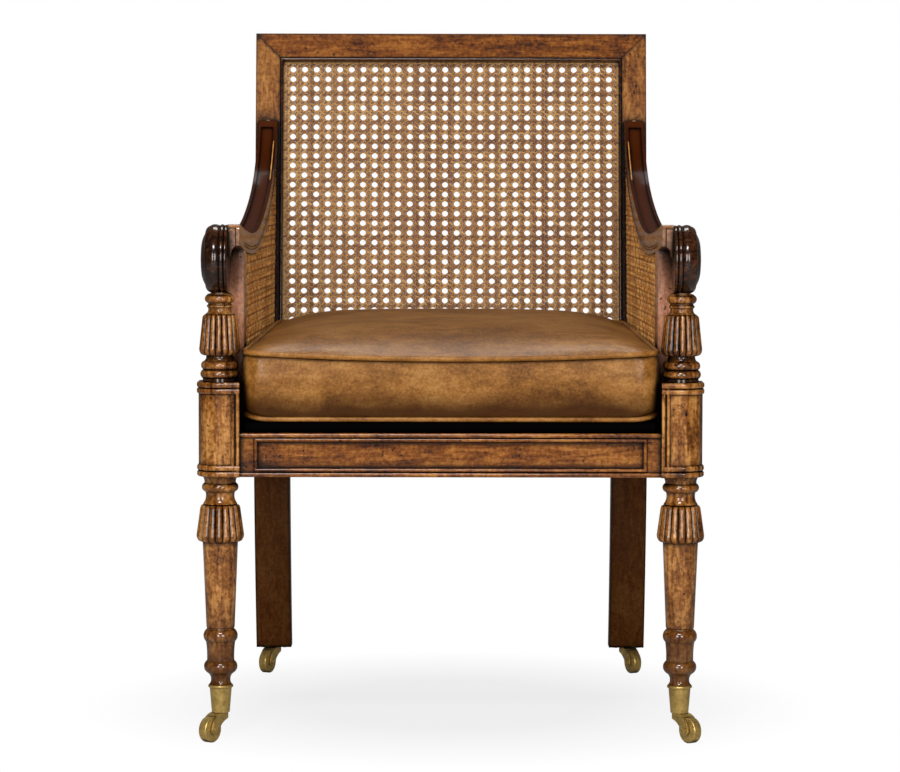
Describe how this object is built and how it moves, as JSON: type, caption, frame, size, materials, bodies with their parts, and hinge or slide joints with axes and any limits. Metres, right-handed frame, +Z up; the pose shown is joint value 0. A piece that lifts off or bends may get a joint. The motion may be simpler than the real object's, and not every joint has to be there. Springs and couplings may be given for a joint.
{
  "type": "bergere chair",
  "caption": "Caned library armchair with turned reeded front legs, swept arms ending in rolls, raked caned back, loose leather cushion and brass casters.",
  "frame": {"origin": "on the floor, under the middle of the chair's width and depth", "axes": "+Z up, -Y towards the front, +X to the right in a view from the front"},
  "size_m": [0.6438, 0.6768, 0.918],
  "materials": {
    "walnut": "polished, antiqued",
    "beech": "raw",
    "cane": "woven rattan cane, satin",
    "leather": "waxed, mottled",
    "deck_cloth": "black cotton",
    "jute": "woven webbing",
    "brass": "antique",
    "steel": "plain"
  },
  "bodies": {
    "chair_frame": {"arm_dowels": "beech", "arm_left": "walnut", "arm_right": "walnut", "arm_roll_left": "walnut", "arm_roll_right": "walnut", "back_bead_bottom": "walnut", "back_bead_left": "walnut", "back_bead_right": "walnut", "back_bead_top": "walnut", "back_cane": "cane", "back_rail": "walnut", "corner_screws": "steel", "crest_dowels": "beech", "crest_rail": "walnut", "front_caster_cup_left": "brass", "front_caster_cup_right": "brass", "front_corner_block_left": "beech", "front_corner_block_right": "beech", "front_leg_left": "walnut", "front_leg_right": "walnut", "front_rail": "walnut", "plate_screws": "steel", "rear_caster_plate_left": "brass", "rear_caster_plate_right": "brass", "rear_corner_block_left": "beech", "rear_corner_block_right": "beech", "rear_leg_left": "walnut", "rear_leg_right": "walnut", "rear_rail": "walnut", "roll_dowels": "beech", "seat_deck": "deck_cloth", "side_cane_left": "cane", "side_cane_right": "cane", "side_panel_rail_left": "walnut", "side_panel_rail_right": "walnut", "side_rail_left": "walnut", "side_rail_right": "walnut", "side_stile_left": "walnut", "side_stile_right": "walnut", "webbing_cross": "jute", "webbing_long": "jute"},
    "cushion": {"seat_cushion": "leather"},
    "front_left_caster": {"front_caster_horn_left": "brass", "front_caster_axle_left": "brass"},
    "front_left_wheel": {"front_caster_wheel_left": "brass"},
    "front_right_caster": {"front_caster_horn_right": "brass", "front_caster_axle_right": "brass"},
    "front_right_wheel": {"front_caster_wheel_right": "brass"},
    "rear_left_caster": {"rear_caster_horn_left": "brass", "rear_caster_axle_left": "brass"},
    "rear_left_wheel": {"rear_caster_wheel_left": "brass"},
    "rear_right_caster": {"rear_caster_horn_right": "brass", "rear_caster_axle_right": "brass"},
    "rear_right_wheel": {"rear_caster_wheel_right": "brass"}
  },
  "joints": [
    {"name": "front_left_caster_swivel", "type": "hinge", "parent": "chair_frame", "child": "front_left_caster", "pos_m": [-0.292, -0.29441, 0.0364], "axis": [0, 0, 1], "continuous": true},
    {"name": "front_left_wheel_roll", "type": "hinge", "parent": "front_left_caster", "child": "front_left_wheel", "pos_m": [-0.30462, -0.31243, 0.0163], "axis": [0.8192, -0.5736, 0], "continuous": true},
    {"name": "front_right_caster_swivel", "type": "hinge", "parent": "chair_frame", "child": "front_right_caster", "pos_m": [0.292, -0.29441, 0.0364], "axis": [0, 0, 1], "continuous": true},
    {"name": "front_right_wheel_roll", "type": "hinge", "parent": "front_right_caster", "child": "front_right_wheel", "pos_m": [0.30462, -0.31243, 0.0163], "axis": [-0.8192, -0.5736, 0], "continuous": true},
    {"name": "rear_left_caster_swivel", "type": "hinge", "parent": "chair_frame", "child": "rear_left_caster", "pos_m": [-0.254, 0.30259, 0.0364], "axis": [0, 0, 1], "continuous": true},
    {"name": "rear_left_wheel_roll", "type": "hinge", "parent": "rear_left_caster", "child": "rear_left_wheel", "pos_m": [-0.2633, 0.28265, 0.0163], "axis": [0.9063, -0.4226, 0], "continuous": true},
    {"name": "rear_right_caster_swivel", "type": "hinge", "parent": "chair_frame", "child": "rear_right_caster", "pos_m": [0.254, 0.30259, 0.0364], "axis": [0, 0, 1], "continuous": true},
    {"name": "rear_right_wheel_roll", "type": "hinge", "parent": "rear_right_caster", "child": "rear_right_wheel", "pos_m": [0.2633, 0.28265, 0.0163], "axis": [-0.9063, -0.4226, 0], "continuous": true},
    {"name": "cushion_lift", "type": "slide", "parent": "chair_frame", "child": "cushion", "axis": [0, 0, 1], "range_m": [0, 0.45]}
  ]
}
